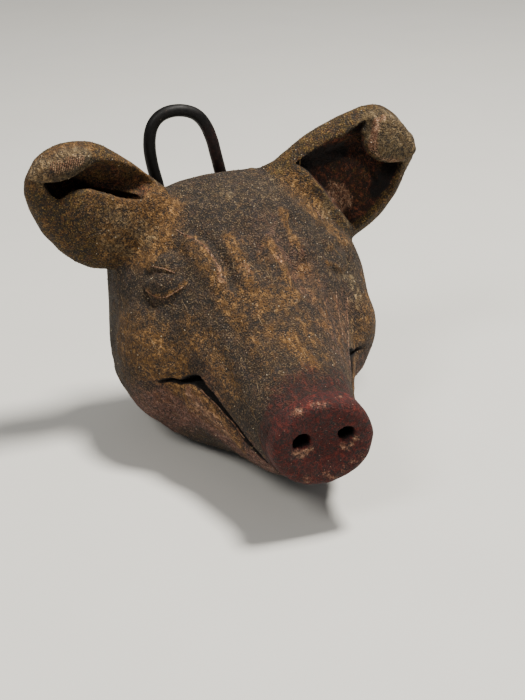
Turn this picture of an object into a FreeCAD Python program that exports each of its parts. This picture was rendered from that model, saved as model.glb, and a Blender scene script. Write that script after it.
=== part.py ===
"""Modelled pig's head for hanging or standing, with its wire loop. Millimetres, +Z up.

The head looks along -Y. Its flat back lies in the plane Y = 0 and the origin is the middle of that back.
The head's own left is +X. Every clay piece is cut to its neighbours, so pieces meet face to face.
"""
import FreeCAD
import Part
import math
import os

Vector = FreeCAD.Vector

# Head shell: one outline per station from the back to the muzzle's end.
# y, height of the widest line, half width, rise above that line, drop below it, power above, power below
STATIONS = [
    (0.0, -4.0, 22.0, 25.4, 18.2, 2.8, 3.2),
    (-3.0, -4.0, 24.4, 28.4, 20.4, 2.8, 3.2),
    (-11.0, -5.0, 24.8, 29.8, 19.8, 2.4, 3.0),
    (-20.0, -5.0, 22.6, 26.0, 19.8, 2.1, 2.8),
    (-30.0, -5.5, 17.6, 19.3, 18.0, 2.0, 2.4),
    (-40.0, -6.0, 13.0, 13.2, 15.6, 2.1, 2.2),
    (-49.0, -6.3, 10.2, 9.3, 12.6, 2.2, 2.1),
    (-55.5, -6.4, 9.0, 7.7, 9.6, 2.2, 2.2),
]
OUTLINE_POINTS = 20
FLOOR_Z = -24.5          # flat underside that the head stands on
CLEAR_OF_HEAD = 40.0     # how far cutting shapes reach past the head

# Mouth, as seen from the side: y and z along the line where the lower jaw parts from the head
MOUTH_LINE = [(-65.0, -14.4), (-55.5, -14.4), (-50.0, -12.2), (-34.5, -3.6), (-27.0, -6.8), (-19.0, -12.0)]
JAW_REAR_Y = -15.0

# Snout disc and nostrils
DISC_CENTRE_Z = -6.3
DISC_HALF_WIDTH = 9.4
DISC_HALF_HEIGHT = 8.1
DISC_BACK_Y = -55.5
DISC_FRONT_Y = -60.0
DISC_EDGE_ROUND = 1.6
NOSTRIL_SPACING = 8.0
NOSTRIL_Z = -4.8
NOSTRIL_RADIUS = 1.25
NOSTRIL_DEPTH = 4.0

# Cheek pads: centre and half sizes of each
LEFT_CHEEK = ((18.2, -18.0, -4.0), (8.0, 10.5, 11.5))
RIGHT_CHEEK = ((-18.4, -18.5, -5.5), (6.4, 9.5, 11.0))

# Eyes, given for the left side. A pad of clay is: a point of the face under its middle, the way
# the face looks there, its turn up from the line towards the snout in degrees, its half length,
# half width and half thickness, and how deep its middle is pressed in
EYE_CENTRE = (16.8, -20.2, 12.2)
EYE_OUTWARD = (0.71, -0.49, 0.50)
EYEBALL_RADIUS = 2.6
EYEBALL_SINK = 2.1
UPPER_LID = ((16.4, -19.2, 14.0), (0.65, -0.49, 0.58), 8.0, (3.7, 1.9, 1.9), 0.9)
LOWER_LID = ((17.0, -21.8, 10.8), (0.69, -0.54, 0.48), 10.0, (4.3, 2.3, 2.3), 1.0)
BROW = ((9.7, -25.0, 14.8), (0.42, -0.62, 0.67), -50.0, (7.4, 2.7, 2.0), 1.0)

# Ears: wall, then from root to tip the x of each slice (away from the middle), its top and bottom z
# and its half depth; then the opening and the folded tip as centre, half sizes and tilt
EAR_WALL = 2.4
EAR_POINTS = 16
EAR_Y = -8.0
TIP_SLICES = 9
TIP_BLUNTNESS = 0.35
RIGHT_EAR = {
    "side": -1,
    "slices": [
        (13.0, 25.0, 11.5, 4.6),
        (18.5, 30.1, 10.8, 5.4),
        (24.5, 34.1, 10.2, 5.8),
        (29.0, 35.2, 11.0, 5.8),
        (33.2, 34.7, 14.0, 5.2),
        (36.8, 32.5, 18.4, 4.2),
        (39.1, 28.6, 23.4, 2.4),
    ],
    "opening": ((-25.0, -13.4, 27.6), (10.8, 5.4, 3.4), 0.0),
    "flap": ((-33.0, -12.0, 32.2), (6.2, 2.6, 3.7), -16.0),
}
LEFT_EAR = {
    "side": 1,
    "slices": [
        (8.5, 25.6, 10.0, 4.2),
        (14.8, 29.8, 7.8, 5.0),
        (21.0, 33.0, 7.6, 5.6),
        (26.0, 34.9, 9.4, 5.6),
        (31.0, 35.6, 12.8, 5.2),
        (35.4, 34.2, 17.7, 4.4),
        (38.9, 30.0, 23.6, 2.6),
    ],
    "opening": ((24.2, -14.0, 24.0), (9.4, 7.0, 9.4), -20.0),
    "flap": ((31.8, -12.2, 30.4), (5.4, 2.6, 5.0), -40.0),
}

# Wire loop: x and z of the ends and bends of its middle line, with the radius of each bend
WIRE_RADIUS = 1.2
LOOP_Y = -2.6
LOOP_ENDS = ((-15.2, 9.5), (6.0, 9.5))
LOOP_BENDS = [((-11.6, 9.5), 2.4), ((-14.6, 37.4), 5.9), ((-2.4, 37.4), 5.9), ((2.2, 9.5), 2.4)]


def closed_curve(points):
    curve = Part.BSplineCurve()
    curve.interpolate(Points=points, PeriodicFlag=True)
    return Part.Wire(curve.toShape())


def signed_power(value, power):
    return math.copysign(abs(value) ** (2.0 / power), value)


def head_outline(y, widest_z, half_width, rise, drop, upper_power, lower_power):
    points = []
    for step in range(OUTLINE_POINTS):
        angle = 2.0 * math.pi * step / OUTLINE_POINTS
        upper = math.sin(angle) >= 0.0
        power = upper_power if upper else lower_power
        height = rise if upper else drop
        x = half_width * signed_power(math.cos(angle), power)
        z = widest_z + height * signed_power(math.sin(angle), power)
        points.append(Vector(x, y, z))
    return closed_curve(points)


def ellipsoid(centre, half_sizes):
    stretch = FreeCAD.Matrix()
    stretch.scale(*half_sizes)
    ball = Part.makeSphere(1.0).transformGeometry(stretch)
    ball.translate(Vector(*centre))
    return ball


def head_shell():
    shell = Part.makeLoft([head_outline(*station) for station in STATIONS], True, False)
    size = 2.0 * CLEAR_OF_HEAD
    above_floor = Part.makeBox(size, 2.0 * size, size, Vector(-CLEAR_OF_HEAD, -size, FLOOR_Z))
    return shell.common(above_floor)


def jaw_region():
    below = [(JAW_REAR_Y, -CLEAR_OF_HEAD), (MOUTH_LINE[0][0], -CLEAR_OF_HEAD)]
    points = [Vector(-CLEAR_OF_HEAD, y, z) for y, z in MOUTH_LINE + below]
    face = Part.Face(Part.makePolygon(points + points[:1]))
    return face.extrude(Vector(2.0 * CLEAR_OF_HEAD, 0, 0))


def ellipse_wire(centre, across, up, half_across, half_up, count):
    points = []
    for step in range(count):
        angle = 2.0 * math.pi * step / count
        points.append(centre + across * (half_across * math.cos(angle)) + up * (half_up * math.sin(angle)))
    return closed_curve(points)


def snout_disc():
    centre = Vector(0, DISC_BACK_Y, DISC_CENTRE_Z)
    outline = ellipse_wire(centre, Vector(1, 0, 0), Vector(0, 0, 1), DISC_HALF_WIDTH, DISC_HALF_HEIGHT, OUTLINE_POINTS)
    disc = Part.Face(outline).extrude(Vector(0, DISC_FRONT_Y - DISC_BACK_Y, 0))
    front_edges = [e for e in disc.Edges if e.BoundBox.YMax < DISC_FRONT_Y + 0.01]
    return disc.makeFillet(DISC_EDGE_ROUND, front_edges)


def nostrils():
    holes = []
    for side in (-1, 1):
        start = Vector(side * NOSTRIL_SPACING / 2.0, DISC_FRONT_Y - 1.0, NOSTRIL_Z)
        holes.append(Part.makeCylinder(NOSTRIL_RADIUS, NOSTRIL_DEPTH + 1.0, start, Vector(0, 1, 0)))
    return Part.makeCompound(holes)


def tilted_ellipsoid(centre, half_sizes, tilt):
    """An ellipsoid turned by tilt degrees about the Y direction through its own centre."""
    pad = ellipsoid((0, 0, 0), half_sizes)
    pad.rotate(Vector(0, 0, 0), Vector(0, 1, 0), tilt)
    pad.translate(Vector(*centre))
    return pad


def folded_tip(centre, half_sizes, tilt):
    """The ear's tip, lying flat over the opening: a pad lofted along its length with blunt ends."""
    half_length, half_depth, half_height = half_sizes
    wires = []
    for step in range(TIP_SLICES):
        angle = math.pi * (step + TIP_BLUNTNESS) / (TIP_SLICES - 1 + 2.0 * TIP_BLUNTNESS)
        middle = Vector(-half_length * math.cos(angle), 0, 0)
        depth, height = half_depth * math.sin(angle), half_height * math.sin(angle)
        wires.append(ellipse_wire(middle, Vector(0, 1, 0), Vector(0, 0, 1), depth, height, EAR_POINTS))
    pad = Part.makeLoft(wires, True, False)
    pad.rotate(Vector(0, 0, 0), Vector(0, 1, 0), tilt)
    pad.translate(Vector(*centre))
    return pad


def pouch(side, slices, wall):
    """A smooth leaf-shaped body through upright slices, each drawn in by wall all round."""
    wires = []
    for x, top, bottom, half_depth in slices[::side]:
        centre = Vector(side * x, EAR_Y, (top + bottom) / 2.0)
        half_height = (top - bottom) / 2.0 - wall
        wires.append(ellipse_wire(centre, Vector(0, 1, 0), Vector(0, 0, 1), half_depth - wall, half_height, EAR_POINTS))
    return Part.makeLoft(wires, True, False)


def ear(spec):
    """A pouch with an opening in front and its tip folded forward over that opening."""
    cavity = pouch(spec["side"], spec["slices"][1:-1], EAR_WALL)
    shell = pouch(spec["side"], spec["slices"], 0.0)
    shell = shell.cut(cavity).cut(tilted_ellipsoid(*spec["opening"]))
    return shell.fuse(folded_tip(*spec["flap"])).removeSplitter()


def eyeball(side):
    outward = Vector(side * EYE_OUTWARD[0], EYE_OUTWARD[1], EYE_OUTWARD[2]).normalize()
    centre = Vector(side * EYE_CENTRE[0], EYE_CENTRE[1], EYE_CENTRE[2])
    return Part.makeSphere(EYEBALL_RADIUS, centre - outward * EYEBALL_SINK)


def face_pad(side, spec):
    """A flattened pad of clay pressed on the face, mirrored to the side asked for."""
    point, normal, turn, half_sizes, sink = spec
    centre = Vector(side * point[0], point[1], point[2])
    outward = Vector(side * normal[0], normal[1], normal[2]).normalize()
    forward = outward.cross(Vector(0, 0, side)).normalize()
    up = (Vector(0, 0, 1) - outward * outward.z).normalize()
    swing = math.radians(turn)
    along = forward * math.cos(swing) + up * math.sin(swing)
    pad = ellipsoid((0, 0, 0), half_sizes)
    turned = FreeCAD.Rotation(along, outward.cross(along), outward, "ZXY")
    pad.Placement = FreeCAD.Placement(centre - outward * sink, turned)
    return pad


def rounded_path(start, bends, end):
    """Straight runs from start to end, with a tangent arc of the given radius at each bend."""
    corners = [start] + [point for point, radius in bends] + [end]
    edges = []
    last = start
    for index, (corner, radius) in enumerate(bends, start=1):
        back = (corners[index - 1] - corner).normalize()
        on = (corners[index + 1] - corner).normalize()
        half_angle = back.getAngle(on) / 2.0
        reach = radius / math.tan(half_angle)
        first, second = corner + back * reach, corner + on * reach
        inward = (back + on).normalize()
        middle = corner + inward * (radius / math.sin(half_angle) - radius)
        if (first - last).Length > 1e-3:
            edges.append(Part.LineSegment(last, first).toShape())
        edges.append(Part.Arc(first, middle, second).toShape())
        last = second
    edges.append(Part.LineSegment(last, end).toShape())
    return Part.Wire(edges)


def wire_loop():
    start, end = [Vector(x, LOOP_Y, z) for x, z in LOOP_ENDS]
    bends = [(Vector(x, LOOP_Y, z), radius) for (x, z), radius in LOOP_BENDS]
    path = rounded_path(start, bends, end)
    section = Part.Wire(Part.makeCircle(WIRE_RADIUS, start, bends[0][0] - start))
    return path.makePipeShell([section], True, True)


def single_solid(shape):
    """The largest solid of a cut, which drops the crumbs that grazing cuts leave."""
    return max(shape.Solids, key=lambda solid: solid.Volume)


def build():
    shell = head_shell()
    jaw_block = jaw_region()
    holes = nostrils()
    loop = wire_loop()
    balls = {side: eyeball(side) for side in (1, -1)}

    body = shell.cut(jaw_block).cut(loop).cut(holes).cut(balls[1]).cut(balls[-1])
    parts = {
        "head_body": single_solid(body),
        "lower_jaw": single_solid(shell.common(jaw_block)),
        "snout_disc": single_solid(snout_disc().cut(holes)),
        "wire_loop": loop,
    }
    for name, (centre, half_sizes) in (("left_cheek", LEFT_CHEEK), ("right_cheek", RIGHT_CHEEK)):
        parts[name] = single_solid(ellipsoid(centre, half_sizes).cut(shell))
    for name, spec in (("left_ear", LEFT_EAR), ("right_ear", RIGHT_EAR)):
        parts[name] = single_solid(ear(spec).cut(shell).cut(loop))

    for name, side in (("left", 1), ("right", -1)):
        ball = balls[side]
        upper, lower, brow = [face_pad(side, spec) for spec in (UPPER_LID, LOWER_LID, BROW)]
        parts[name + "_eyeball"] = ball
        parts[name + "_upper_eyelid"] = single_solid(upper.cut(shell).cut(ball))
        parts[name + "_lower_eyelid"] = single_solid(lower.cut(shell).cut(ball).cut(upper))
        parts[name + "_brow"] = single_solid(brow.cut(shell).cut(upper).cut(lower))
    return parts


def main():
    os.makedirs("parts", exist_ok=True)
    for name, shape in build().items():
        box = shape.BoundBox
        print(f"{name:20s} valid={shape.isValid()} solids={len(shape.Solids)} volume={shape.Volume:9.1f}"
              f"  x {box.XMin:6.1f} {box.XMax:6.1f}  y {box.YMin:6.1f} {box.YMax:6.1f}"
              f"  z {box.ZMin:6.1f} {box.ZMax:6.1f}")
        shape.exportStep(f"parts/{name}.step")


main()
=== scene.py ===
"""Looks of the modelled pig's head: sculpted clay, painted and dry-brushed, with its bent wire loop.

The sculpting works in millimetres in the frame's own axes: the head looks along -Y, +X is its left, +Z is up.
"""
import math

import bpy
import numpy as np
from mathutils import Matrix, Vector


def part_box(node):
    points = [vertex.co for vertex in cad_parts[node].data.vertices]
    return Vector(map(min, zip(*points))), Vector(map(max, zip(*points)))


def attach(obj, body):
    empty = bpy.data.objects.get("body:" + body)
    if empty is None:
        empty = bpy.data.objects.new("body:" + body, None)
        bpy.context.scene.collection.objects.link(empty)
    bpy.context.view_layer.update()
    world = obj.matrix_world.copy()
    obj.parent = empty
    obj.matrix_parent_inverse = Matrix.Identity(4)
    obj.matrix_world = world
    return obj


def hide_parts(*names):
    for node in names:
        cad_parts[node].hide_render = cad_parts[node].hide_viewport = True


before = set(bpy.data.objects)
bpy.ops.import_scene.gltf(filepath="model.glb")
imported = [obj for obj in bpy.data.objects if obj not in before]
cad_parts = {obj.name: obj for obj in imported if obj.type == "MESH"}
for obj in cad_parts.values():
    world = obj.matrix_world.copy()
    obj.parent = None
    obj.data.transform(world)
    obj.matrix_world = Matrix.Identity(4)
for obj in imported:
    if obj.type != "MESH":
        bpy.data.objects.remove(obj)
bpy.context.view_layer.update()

import openvdb as vdb
from mathutils import Matrix, Vector

MM = 0.001
ROOT = "root"

# ---------------------------------------------------------------- the block that the clay is sculpted in
VOXEL = 0.36          # grain of the block, in mm
BAND = 12                                    # voxels of distance kept each side of a skin
REACH = BAND * VOXEL
BLOCK_LOW = np.array([-42.0, -62.6, -26.4])
BLOCK_HIGH = np.array([42.0, 2.2, 39.0])
FIRST = np.floor(BLOCK_LOW / VOXEL).astype(int)
COUNT = np.ceil(BLOCK_HIGH / VOXEL).astype(int) - FIRST
AXES = [(FIRST[i] + np.arange(COUNT[i], dtype=np.float32)) * np.float32(VOXEL) for i in range(3)]
FLOOR_Z = -24.5


def window(low, high):
    """Slices of the block between two corners, with its X, Y and Z as arrays that combine over it."""
    first = [int(max(0, math.floor(low[i] / VOXEL) - FIRST[i])) for i in range(3)]
    last = [int(min(COUNT[i], math.ceil(high[i] / VOXEL) - FIRST[i] + 1)) for i in range(3)]
    part = tuple(slice(a, b) for a, b in zip(first, last))
    x = AXES[0][part[0]][:, None, None]
    y = AXES[1][part[1]][None, :, None]
    z = AXES[2][part[2]][None, None, :]
    return part, x, y, z


def join(a, b, blend):
    """Union of two distance fields, with the inside corner filled over the blend width."""
    share = np.clip(0.5 + 0.5 * (b - a) / blend, 0, 1)
    return b * (1 - share) + a * share - blend * share * (1 - share)


def carve(a, b, blend):
    """Field a with b taken away, its new edge softened over the blend width."""
    return -join(-a, b, blend)


def distances(points, faces, quads=False):
    """Signed distance field of a closed skin, in the whole block."""
    spacing = vdb.createLinearTransform(voxelSize=VOXEL)
    faces = np.ascontiguousarray(faces, dtype=np.uint32)
    points = np.ascontiguousarray(points, dtype=np.float32)
    wanted = {"quads": faces} if quads else {"triangles": faces}
    grid = vdb.FloatGrid.createLevelSetFromPolygons(points, transform=spacing, halfWidth=BAND, **wanted)
    field = np.full(COUNT, REACH, np.float32)
    grid.copyToArray(field, ijk=tuple(int(v) for v in FIRST))
    return field


def skin(field):
    """Points and quads of a field's zero surface, facing outwards."""
    grid = vdb.FloatGrid(REACH)
    grid.transform = vdb.createLinearTransform(voxelSize=VOXEL)
    grid.copyFromArray(np.ascontiguousarray(field), ijk=tuple(int(v) for v in FIRST), tolerance=0)
    points, quads = grid.convertToQuads(0.0)
    a, b, c = points[quads[:, 0]], points[quads[:, 1]], points[quads[:, 2]]
    d = points[quads[:, 3]]
    volume = np.einsum("ij,ij->", a, np.cross(b, c)) + np.einsum("ij,ij->", a, np.cross(c, d))
    return points, (quads[:, ::-1] if volume < 0 else quads)


def settled(field):
    """The same surface with true distances either side."""
    points, quads = skin(field)
    return distances(points, quads, quads=True)


def sample(field, points):
    """The field's values at points, smoothly between voxels."""
    place = points / VOXEL - FIRST
    place = np.clip(place, 0, COUNT - 1.001)
    low = place.astype(int)
    part = (place - low).astype(np.float32)
    total = np.zeros(len(points), np.float32)
    for corner in range(8):
        step = np.array([corner & 1, corner >> 1 & 1, corner >> 2 & 1])
        weight = np.prod(np.where(step, part, 1 - part), axis=1)
        at = low + step
        total += weight * field[at[:, 0], at[:, 1], at[:, 2]]
    return total


def outward(field, points, step=0.6):
    """Unit directions out of the clay at points."""
    slope = [sample(field, points + step * e) - sample(field, points - step * e) for e in np.eye(3)]
    slope = np.stack(slope, 1)
    return slope / (np.linalg.norm(slope, axis=1, keepdims=True) + 1e-9)


LUMP_GAIN = 2.2                              # brings the smoothed humps back to a height of about 1


def lumps(size, seed):
    """Smooth unevenness over the whole block, about size mm from hump to hump, mostly within -1 to 1."""
    rng = np.random.default_rng(seed)
    weights = []
    for axis in AXES:
        place = (axis - axis[0]) / size + 1.0
        knots = int(place[-1]) + 4
        offset = np.abs(place[:, None] - np.arange(knots)[None, :])
        near = np.where(offset < 1, 2 / 3 - offset ** 2 + offset ** 3 / 2, 0)
        far = np.where((offset >= 1) & (offset < 2), (2 - offset) ** 3 / 6, 0)
        weights.append((near + far).astype(np.float32))
    knots = rng.normal(0, 1, [w.shape[1] for w in weights]).astype(np.float32)
    field = np.tensordot(weights[0], knots, (1, 0))
    for weight in weights[1:]:
        field = np.tensordot(field, weight, (1, 1))
    return field * LUMP_GAIN


# ---------------------------------------------------------------- strokes of the modelling tools
def smooth_path(points, step=0.5):
    """Points about step mm apart along a smooth line through the given ones; extra columns follow along."""
    points = np.array(points, float)
    ends = np.vstack([2 * points[0] - points[1], points, 2 * points[-1] - points[-2]])
    made = []
    for a, b, c, d in zip(ends, ends[1:], ends[2:], ends[3:]):
        count = max(2, int(np.linalg.norm((c - b)[:3]) / step))
        for t in np.arange(count) / count:
            made.append(0.5 * (2 * b + (c - a) * t + (2 * a - 5 * b + 4 * c - d) * t * t
                               + (3 * b - a - 3 * c + d) * t ** 3))
    return np.array(made + [points[-1]])


def onto_skin(field, points):
    """Moves points onto the clay's surface."""
    for _ in range(4):
        points = points - outward(field, points) * sample(field, points)[:, None]
    return points


STROKE_FULLNESS = 2.2                        # how soon a stroke reaches its full depth from either end


def tube(path, radius, margin):
    """A window and the distance field in it of a rod along a path."""
    reach = radius + margin
    part, x, y, z = window(path.min(0) - reach, path.max(0) + reach)
    field = None
    for px, py, pz in path:
        ball = np.sqrt((x - px) ** 2 + (y - py) ** 2 + (z - pz) ** 2) - radius
        field = ball if field is None else np.minimum(field, ball)
    return part, field


def draw(clay, points, width, depth, blend):
    """Runs a round tool along the surface: a groove where depth is positive, a raised line where negative."""
    path = onto_skin(clay, smooth_path(points))
    size = abs(depth)
    radius = (width * width / 4 + size * size) / (2 * size)
    along = np.clip(np.linspace(0, 1, len(path)), 0.02, 0.98)
    ease = np.clip(np.sin(math.pi * along) * STROKE_FULLNESS, 0, 1)
    lift = (radius - size * ease) * (1 if depth > 0 else -1)
    path = path + outward(clay, path) * lift[:, None]
    part, rod = tube(path, radius, 1.5)
    clay[part] = carve(clay[part], rod, blend) if depth > 0 else join(clay[part], rod, blend)


def pad(centre, half_sizes, turn):
    """A window and field of a flattened ball; turn holds its three own directions as rows."""
    reach = max(half_sizes) + 2.5
    centre = np.array(centre, float)
    part, x, y, z = window(centre - reach, centre + reach)
    own = [((x - centre[0]) * r[0] + (y - centre[1]) * r[1] + (z - centre[2]) * r[2]) / s
           for r, s in zip(turn, half_sizes)]
    size = np.sqrt(own[0] ** 2 + own[1] ** 2 + own[2] ** 2)
    return part, (size - 1) * min(half_sizes)


def tilted(degrees):
    """Own directions of a pad turned about Y: its length, its depth and its height."""
    c, s = math.cos(math.radians(degrees)), math.sin(math.radians(degrees))
    return [(c, 0, s), (0, 1, 0), (-s, 0, c)]


def outline_field(x, z, outline):
    """Signed distance, in the X-Z plane, to a closed outline given as points."""
    x, z = np.broadcast_arrays(x, z)
    nearest = np.full(x.shape, 1e9, np.float32)
    inside = np.zeros(x.shape, bool)
    for (ax, az), (bx, bz) in zip(outline, np.roll(outline, -1, 0)):
        ex, ez = bx - ax, bz - az
        t = np.clip(((x - ax) * ex + (z - az) * ez) / (ex * ex + ez * ez + 1e-9), 0, 1)
        nearest = np.minimum(nearest, (x - ax - t * ex) ** 2 + (z - az - t * ez) ** 2)
        crosses = ((az > z) != (bz > z)) & (x < ex * (z - az) / (ez + (1e-9 if ez >= 0 else -1e-9)) + ax)
        inside ^= crosses
    return np.sqrt(nearest) * np.where(inside, -1, 1)


def mirrored(points):
    """The same points on the other side of the head."""
    return [(-p[0],) + tuple(p[1:]) for p in points]


# ---------------------------------------------------------------- head, cheeks, lids and brows as one skin
def cad_field(name):
    """Distance field of one of the part's own solids."""
    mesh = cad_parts[name].data
    points = np.empty(len(mesh.vertices) * 3, np.float32)
    mesh.vertices.foreach_get("co", points)
    mesh.calc_loop_triangles()
    faces = np.empty(len(mesh.loop_triangles) * 3, np.int32)
    mesh.loop_triangles.foreach_get("vertices", faces)
    return distances(points.reshape(-1, 3) / MM, faces.reshape(-1, 3))


CLAY_NODES = ["head_body", "lower_jaw", "snout_disc", "left_cheek", "right_cheek", "left_ear", "right_ear",
              "left_upper_eyelid", "right_upper_eyelid", "left_lower_eyelid", "right_lower_eyelid",
              "left_brow", "right_brow"]
node_fields = {name: cad_field(name) for name in CLAY_NODES}

SEAM_FILL = 0.25
clay = np.minimum(node_fields["head_body"], node_fields["lower_jaw"])
for side_name in ("left", "right"):
    clay = join(clay, cad_field(side_name + "_eyeball") - 0.25, 1.0)
clay = settled(clay - SEAM_FILL) + SEAM_FILL
clay = join(clay, node_fields["left_cheek"], 4.0)
clay = join(clay, node_fields["right_cheek"], 5.0)
part, cheekbone = pad((16.8, -12.4, 3.0), (9.0, 8.0, 11.0), tilted(0))
clay[part] = join(clay[part], cheekbone, 3.0)
for side_name in ("left", "right"):
    clay = join(clay, node_fields[side_name + "_brow"] + 0.1, 1.6)
    clay = join(clay, node_fields[side_name + "_lower_eyelid"] + 0.22, 1.5)
    clay = join(clay, node_fields[side_name + "_upper_eyelid"] - 0.05, 1.5)
clay = join(clay, node_fields["snout_disc"], 0.7)


# ---------------------------------------------------------------- ears
ROOM = 3.0                                   # empty block kept round an ear or a hollow
ROOM_BEFORE_EAR = 9.0
ROOF_LEAN = 0.5                              # how far a hollow's back leans forward for each mm above its roof
TIP_EDGE = 1.5                               # rounding of a folded tip's edge


def leaf(side, slices, y_middle):
    """Outer body of an ear through upright slices: x, top, bottom and half depth."""
    slices = np.array(slices, float)
    dense = smooth_path(slices, 0.3)
    dense = dense[np.argsort(dense[:, 0])]
    ends = (side * dense[0, 0], side * dense[-1, 0])
    low = [min(ends) - ROOM, y_middle - ROOM_BEFORE_EAR, slices[:, 2].min() - ROOM]
    high = [max(ends) + ROOM, y_middle + ROOM_BEFORE_EAR, slices[:, 1].max() + ROOM]
    part, x, y, z = window(low, high)
    along = np.clip(x * side, dense[0, 0], dense[-1, 0])
    top, bottom, depth = [np.interp(along, dense[:, 0], dense[:, i]) for i in (1, 2, 3)]
    height = np.maximum((top - bottom) / 2, 0.3)
    depth = np.maximum(depth, 0.3)
    size = np.sqrt(((y - y_middle) / depth) ** 2 + ((z - (top + bottom) / 2) / height) ** 2)
    past = np.maximum(x * side - dense[-1, 0], dense[0, 0] - x * side)
    field = np.full(COUNT, REACH, np.float32)
    field[part] = np.maximum((size - 1) * np.minimum(height, depth), past)
    return settled(field)


RIGHT_EAR_SLICES = [
    (12.5, 24.6, 12.0, 4.4), (15.0, 26.9, 11.2, 5.0), (19.2, 30.6, 10.4, 5.5), (24.5, 34.1, 10.1, 5.9),
    (28.5, 35.3, 10.9, 5.8), (33.0, 34.9, 14.0, 5.2), (36.8, 32.7, 18.6, 4.1), (38.6, 30.0, 22.4, 2.9),
    (39.3, 28.2, 24.6, 1.7), (39.6, 26.9, 25.9, 0.7)]
LEFT_EAR_SLICES = [
    (8.0, 25.6, 11.0, 4.2), (9.6, 27.0, 9.5, 4.4), (14.8, 31.0, 7.8, 5.0), (21.0, 34.0, 7.6, 5.5),
    (27.3, 35.8, 10.2, 5.5), (31.1, 35.8, 12.9, 5.1), (34.2, 34.0, 16.6, 4.5), (36.4, 31.2, 20.8, 3.7),
    (37.6, 28.8, 23.4, 2.7), (38.2, 27.2, 24.6, 1.6), (38.5, 26.4, 25.3, 0.6)]
EAR_MIDDLE_Y = -8.0
EAR_FRONT_Y = -13.5

right_ear = leaf(-1, RIGHT_EAR_SLICES, EAR_MIDDLE_Y)
left_ear = leaf(1, LEFT_EAR_SLICES, EAR_MIDDLE_Y)
unhollowed_ears = (right_ear.copy(), left_ear.copy())


def hollow_out(ear, outline, front, back, narrowing, floor_round, lip_round, roof=99.0):
    """Scoops an ear inside an outline from front to back, narrowing with depth to a rounded floor.

    Above the height called roof the back of the hollow leans forward.
    """
    outline = np.array(outline, float)
    low = [outline[:, 0].min() - ROOM, front - ROOM, outline[:, 1].min() - ROOM]
    high = [outline[:, 0].max() + ROOM, back + ROOM, outline[:, 1].max() + ROOM]
    part, x, y, z = window(low, high)
    flat = outline_field(x, z, outline)
    wall = back - y - ROOF_LEAN * np.maximum(z - roof, 0)
    scoop = -join(-(flat + narrowing * np.maximum(y - EAR_FRONT_Y, 0)), wall, floor_round)
    scoop = np.maximum(scoop, front - y)
    ear[part] = carve(ear[part], scoop, lip_round)


RIGHT_SLIT = [
    (-36.0, 29.4), (-35.0, 27.4), (-33.6, 26.3), (-31.1, 27.7), (-27.7, 27.8), (-23.7, 26.2), (-21.0, 24.9),
    (-17.6, 24.6), (-15.4, 25.8), (-16.0, 27.4), (-18.8, 29.9), (-21.7, 31.6), (-26.0, 32.2), (-28.2, 30.8),
    (-31.0, 29.8)]
RIGHT_POCKET = [
    (-35.6, 28.6), (-34.4, 24.0), (-28.0, 20.6), (-21.0, 20.0), (-17.4, 22.6), (-17.6, 24.6), (-21.6, 26.0),
    (-26.4, 27.6), (-29.0, 29.6), (-32.0, 31.8)]
RIGHT_TIP = [
    (-39.0, 30.6), (-36.4, 29.9), (-33.6, 29.5), (-30.6, 30.3), (-28.2, 31.8), (-27.0, 33.4), (-28.4, 35.0),
    (-32.6, 35.2), (-36.8, 33.4)]
LEFT_MOUTH = [
    (13.0, 27.0), (16.0, 28.7), (19.4, 30.3), (22.6, 31.2), (25.2, 32.6), (27.8, 33.8), (26.8, 31.8),
    (26.0, 29.6), (27.2, 27.4), (29.2, 26.0), (31.6, 25.2), (34.2, 25.1), (33.6, 23.2), (32.4, 20.6),
    (30.6, 17.6), (28.2, 14.8), (25.6, 12.6), (24.0, 13.6), (21.6, 17.0), (18.6, 21.4), (15.6, 24.8)]
LEFT_POCKET = [
    (16.0, 26.4), (20.0, 28.8), (26.0, 31.6), (30.4, 31.8), (33.8, 28.8), (34.8, 25.2), (33.0, 19.4),
    (31.4, 18.2), (29.4, 20.8), (26.4, 24.4), (21.4, 25.6)]
LEFT_TIP = [
    (28.0, 34.6), (27.5, 31.8), (26.6, 29.6), (27.4, 27.5), (29.4, 26.0), (31.6, 25.2), (34.8, 25.2),
    (36.6, 26.0), (37.4, 27.5), (36.4, 30.4), (33.8, 33.8), (30.6, 35.8)]


def folded_tip(ear, outline, centre, half_sizes, tilt, blend):
    """The tip of an ear folded forwards and down: a flattened lump inside an outline."""
    part, dome = pad(centre, half_sizes, tilted(tilt))
    flat = outline_field(AXES[0][part[0]][:, None, None], AXES[2][part[2]][None, None, :], np.array(outline))
    ear[part] = join(ear[part], -join(-dome, -flat, TIP_EDGE), blend)


# hollowed on their own first, then once more after the clay that joins them to the head has run into them
for joined in (False, True):
    if joined:
        clay = join(clay, right_ear, 2.4)
        clay = join(clay, left_ear, 2.6)
    right, left = (clay, clay) if joined else (right_ear, left_ear)
    hollow_out(right, RIGHT_SLIT, -20.0, -7.9, 0.06, 1.6, 0.7, roof=26.4)
    hollow_out(right, RIGHT_POCKET, -11.3, -5.8, 0.30, 2.4, 0.7, roof=27.0)
    folded_tip(right, RIGHT_TIP, (-33.2, -11.0, 31.9), (8.2, 3.2, 4.8), 14, 0.7)
    hollow_out(left, LEFT_MOUTH, -20.0, -7.8, 0.12, 3.0, 1.2 if joined else 0.9)
    hollow_out(left, LEFT_POCKET, -11.6, -5.8, 0.25, 2.4, 0.7)
    folded_tip(left, LEFT_TIP, (32.0, -11.0, 30.0), (8.6, 3.1, 7.6), -45, 0.7)

# ---------------------------------------------------------------- uneven hand-pressed surface
HAND_PRESSED = ((0.17, 8.0, 11), (0.10, 3.2, 12), (0.055, 1.2, 13))     # height and size in mm, seed
clay += sum(height * lumps(size, seed) for height, size, seed in HAND_PRESSED)

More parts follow.
